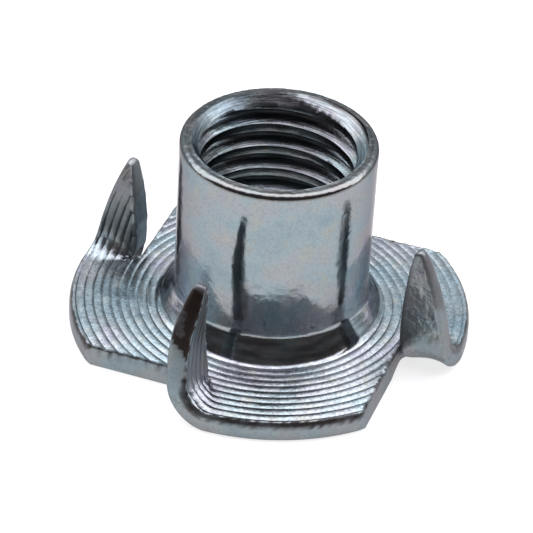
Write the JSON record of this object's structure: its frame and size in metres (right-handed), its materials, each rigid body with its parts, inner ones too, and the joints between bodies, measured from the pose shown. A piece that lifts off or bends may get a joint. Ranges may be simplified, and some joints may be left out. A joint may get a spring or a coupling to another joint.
{
  "type": "tee nut",
  "caption": "One-piece zinc-plated steel tee nut: a threaded barrel on a ringed round flange with prongs bent up beside the barrel.",
  "frame": {"origin": "on the thread's axis, in the flat underside of the flange", "axes": "+Z along the barrel from the flange to its mouth, +X through the tip of one prong, which faces +Y"},
  "size_m": [0.0226, 0.0226, 0.012],
  "materials": {
    "zinc_plated_steel": "bright blue-white zinc plating on pressed low-carbon steel sheet"
  },
  "bodies": {
    "root": {"tee_nut": "zinc_plated_steel"}
  },
  "joints": []
}
